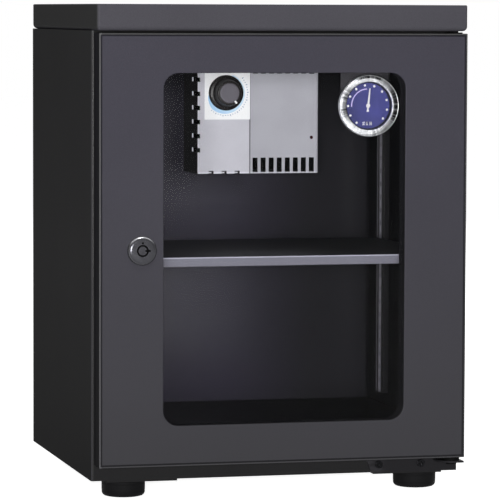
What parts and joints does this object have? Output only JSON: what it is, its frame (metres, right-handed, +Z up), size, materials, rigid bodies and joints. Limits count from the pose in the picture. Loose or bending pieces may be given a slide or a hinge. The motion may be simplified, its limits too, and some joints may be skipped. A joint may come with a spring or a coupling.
{
  "type": "camera dry cabinet",
  "caption": "Electronic dry cabinet for cameras and lenses: steel case with a glazed locking door, lift-out shelf, dryer unit with humidity knob and dial hygrometer.",
  "frame": {"origin": "centre of the overall bounding box in plan, on the plane of the feet", "axes": "+Z up, the door faces -Y, +X to the right as seen from the front"},
  "size_m": [0.32, 0.296, 0.414],
  "materials": {
    "black_paint": "satin black powder coat",
    "cover_paint": "satin charcoal powder coat",
    "door_paint": "satin charcoal powder coat",
    "shelf_paint": "satin grey powder coat",
    "bracket_paint": "satin black paint",
    "black_rubber": "matte",
    "zinc_steel": "zinc plated",
    "dark_screws": "dark plated",
    "clear_glass": "clear, flat",
    "bush_plastic": "moulded",
    "lock_metal": "dark chrome",
    "dark_plastic": "fine texture",
    "silver_plastic": "satin silver grey",
    "white_label": "printed plate",
    "black_plastic": "satin black",
    "board_green": "solder resist",
    "pot_blue": "moulded",
    "brass_pins": "plated",
    "led_lens": "clear tinted",
    "canister": "brushed",
    "heater_metal": "anodised",
    "shutter_plastic": "moulded",
    "memory_metal": "bright",
    "gauge_case_paint": "black",
    "bright_metal": "polished",
    "dial_paint": "satin printed dial",
    "coil_metal": "thin strip",
    "needle_paint": "white painted"
  },
  "bodies": {
    "cabinet": {"left_side_panel": "black_paint", "right_side_panel": "black_paint", "back_panel": "black_paint", "floor_panel": "black_paint", "base_plate": "black_paint", "ceiling_panel": "black_paint", "left_jamb": "black_paint", "right_jamb": "black_paint", "plinth_rail": "black_paint", "head_rail": "black_paint", "left_shelf_rails": "black_paint", "right_shelf_rails": "black_paint", "top_cover": "cover_paint", "shelf": "shelf_paint", "lower_hinge_bracket": "bracket_paint", "upper_hinge_bracket": "bracket_paint", "gauge_bracket": "bracket_paint", "foot_plates": "bracket_paint", "feet": "black_rubber", "shelf_clips": "zinc_steel", "lower_hinge_pin": "zinc_steel", "upper_hinge_pin": "zinc_steel", "pan_screws": "zinc_steel", "return_spring": "zinc_steel", "hinge_screws": "dark_screws", "gauge_glass": "clear_glass", "dryer_back_plate": "dark_plastic", "power_module": "dark_plastic", "control_housing": "silver_plastic", "chamber_housing": "silver_plastic", "scale_plate": "white_label", "power_inlet": "black_plastic", "control_board": "board_green", "potentiometer": "pot_blue", "inlet_pins": "brass_pins", "status_led": "led_lens", "desiccant_cartridge": "canister", "heater_block": "heater_metal", "memory_spring": "memory_metal", "gauge_case": "gauge_case_paint", "gauge_bezel": "bright_metal", "gauge_dial": "dial_paint", "humidity_coil": "coil_metal"},
    "door": {"door_skin": "door_paint", "door_lining": "door_paint", "window_glass": "clear_glass", "glass_seal": "black_rubber", "door_gasket": "black_rubber", "hinge_bushes": "bush_plastic", "lock_barrel": "lock_metal", "lock_nut": "zinc_steel"},
    "lock": {"lock_plug": "lock_metal", "lock_cam": "zinc_steel", "cam_screw": "zinc_steel"},
    "knob": {"humidity_knob": "black_plastic", "knob_shaft": "zinc_steel"},
    "needle": {"gauge_needle": "needle_paint"},
    "lower_shutter": {"lower_shutter": "shutter_plastic"},
    "upper_shutter": {"upper_shutter": "shutter_plastic"}
  },
  "joints": [
    {"name": "door_hinge", "type": "hinge", "parent": "cabinet", "child": "door", "pos_m": [0.151, -0.135, 0.2], "axis": [0, 0, 1], "range_deg": [0, 180]},
    {"name": "lock_turn", "type": "hinge", "parent": "door", "child": "lock", "pos_m": [-0.122, -0.13, 0.21], "axis": [0, 1, 0], "range_deg": [0, 90]},
    {"name": "knob_turn", "type": "hinge", "parent": "cabinet", "child": "knob", "pos_m": [0.0065, 0.08, 0.3346], "axis": [0, 1, 0], "range_deg": [-295, 5]},
    {"name": "needle_turn", "type": "hinge", "parent": "cabinet", "child": "needle", "pos_m": [0.1119, -0.01, 0.3254], "axis": [0, 1, 0], "range_deg": [-152, 123]},
    {"name": "lower_shutter_slide", "type": "slide", "parent": "cabinet", "child": "lower_shutter", "axis": [0, 0, -1], "range_m": [0, 0.0136], "stiffness_N_per_m": 40, "springref_m": -0.001, "deforming": ["memory_spring", "return_spring"]},
    {"name": "upper_shutter_slide", "type": "slide", "parent": "cabinet", "child": "upper_shutter", "axis": [0, 0, 1], "range_m": [0, 0.0136]}
  ],
  "couplings": [
    {"joint": "upper_shutter_slide", "follows": "lower_shutter_slide", "ratio": 1}
  ]
}
